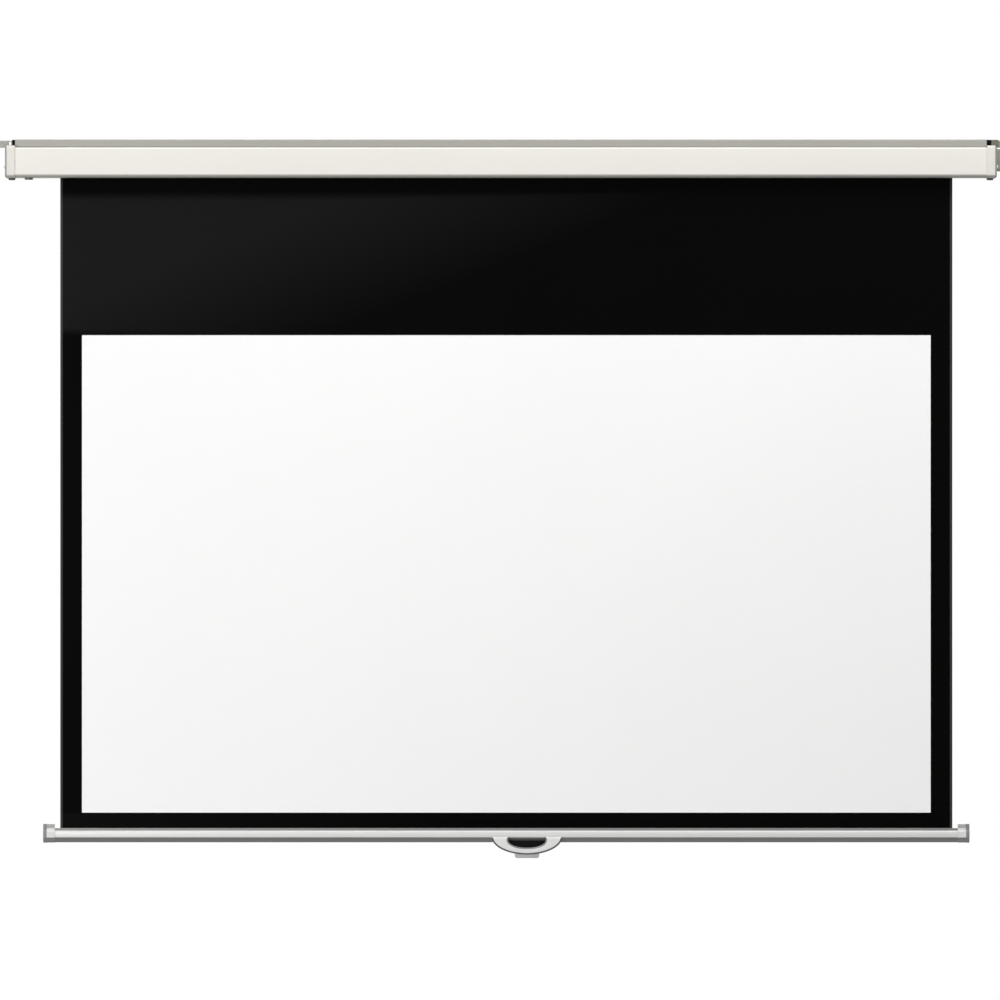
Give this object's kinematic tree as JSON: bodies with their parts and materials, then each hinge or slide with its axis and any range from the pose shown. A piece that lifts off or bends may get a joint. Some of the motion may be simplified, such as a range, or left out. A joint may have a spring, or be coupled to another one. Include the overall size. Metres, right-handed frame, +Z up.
{
  "type": "pull down projector screen",
  "caption": "Wall or ceiling mounted projector screen that pulls down from a slim case on a spring roller, with black masking, a weight bar and a pull handle.",
  "frame": {"origin": "centre of the case's flat back face, where it lies on the wall", "axes": "+X along the case to the viewer's right, +Y into the wall, +Z up"},
  "size_m": [2.472, 0.086, 1.7228],
  "materials": {
    "cream_paint": "semi gloss",
    "gray_paint": "satin",
    "gray_aluminium": "satin gray",
    "gray_plastic": "satin",
    "zinc_steel": "zinc plated",
    "dark_steel": "oiled",
    "silver_aluminium": "satin",
    "silver_plastic": "satin",
    "white_gloss": "gloss",
    "black_plastic": "matte",
    "black_rubber": "matte",
    "white_nylon": "matte",
    "white_screen": "matte white, black on the back",
    "black_fabric": "matte"
  },
  "bodies": {
    "case": {"back_channel": "cream_paint", "front_cover": "cream_paint", "top_rail": "gray_aluminium", "left_end_plate": "zinc_steel", "right_end_plate": "zinc_steel", "right_axle_cover": "gray_plastic", "left_end_cap": "cream_paint", "right_end_cap": "cream_paint", "left_rail_plug": "black_plastic", "right_rail_plug": "black_plastic", "left_hanger_bracket": "gray_paint", "right_hanger_bracket": "gray_paint", "left_cap_foot": "black_rubber", "right_cap_foot": "black_rubber", "clamp_screw": "dark_steel", "left_cap_screw_upper": "zinc_steel", "left_cap_screw_lower": "zinc_steel", "right_cap_screw_upper": "zinc_steel", "right_cap_screw_lower": "zinc_steel", "left_bracket_screw_outer": "zinc_steel", "left_bracket_screw_inner": "zinc_steel", "right_bracket_screw_outer": "zinc_steel", "right_bracket_screw_inner": "zinc_steel", "axle_cover_screw_upper": "zinc_steel", "axle_cover_screw_lower": "zinc_steel", "rail_screw_left": "zinc_steel", "rail_screw_middle": "zinc_steel", "rail_screw_right": "zinc_steel", "spring_spindle": "zinc_steel", "spindle_clip": "dark_steel", "spindle_block": "black_plastic", "ratchet_wheel": "dark_steel", "spring_collar": "black_plastic", "torsion_spring": "dark_steel", "idle_bushing": "white_nylon", "screen_fabric": "white_screen", "black_masking": "black_fabric"},
    "weight_bar": {"weight_bar": "silver_aluminium", "bar_left_cap": "silver_plastic", "bar_right_cap": "silver_plastic", "bottom_border": "black_fabric", "hem_rod": "white_nylon", "handle_ring": "white_gloss", "handle_panel": "black_plastic", "handle_screw_left": "zinc_steel", "handle_screw_right": "zinc_steel"},
    "roller": {"roller_tube": "silver_aluminium", "left_roller_plug": "black_plastic", "right_roller_plug": "black_plastic", "idle_pin": "zinc_steel", "spring_plug": "black_plastic", "fabric_wraps": "black_fabric", "upper_pawl_pin": "zinc_steel", "lower_pawl_pin": "zinc_steel"},
    "upper_pawl": {"upper_pawl": "dark_steel"},
    "lower_pawl": {"lower_pawl": "dark_steel"}
  },
  "joints": [
    {"name": "screen_drop", "type": "slide", "parent": "case", "child": "weight_bar", "axis": [0, 0, 1], "range_m": [0, 1.546], "deforming": ["screen_fabric", "black_masking"]},
    {"name": "roller_spin", "type": "hinge", "parent": "case", "child": "roller", "pos_m": [0, -0.05, -0.0095], "axis": [1, 0, 0], "range_deg": [0, 3090]},
    {"name": "upper_pawl_swing", "type": "hinge", "parent": "roller", "child": "upper_pawl", "pos_m": [-1.085, -0.05, 0.008], "axis": [1, 0, 0], "range_deg": [0, 35]},
    {"name": "lower_pawl_swing", "type": "hinge", "parent": "roller", "child": "lower_pawl", "pos_m": [-1.085, -0.05, -0.027], "axis": [1, 0, 0], "range_deg": [-35, 0]}
  ],
  "couplings": [
    {"joint": "roller_spin", "follows": "screen_drop", "rad_per_m": 34.813}
  ]
}
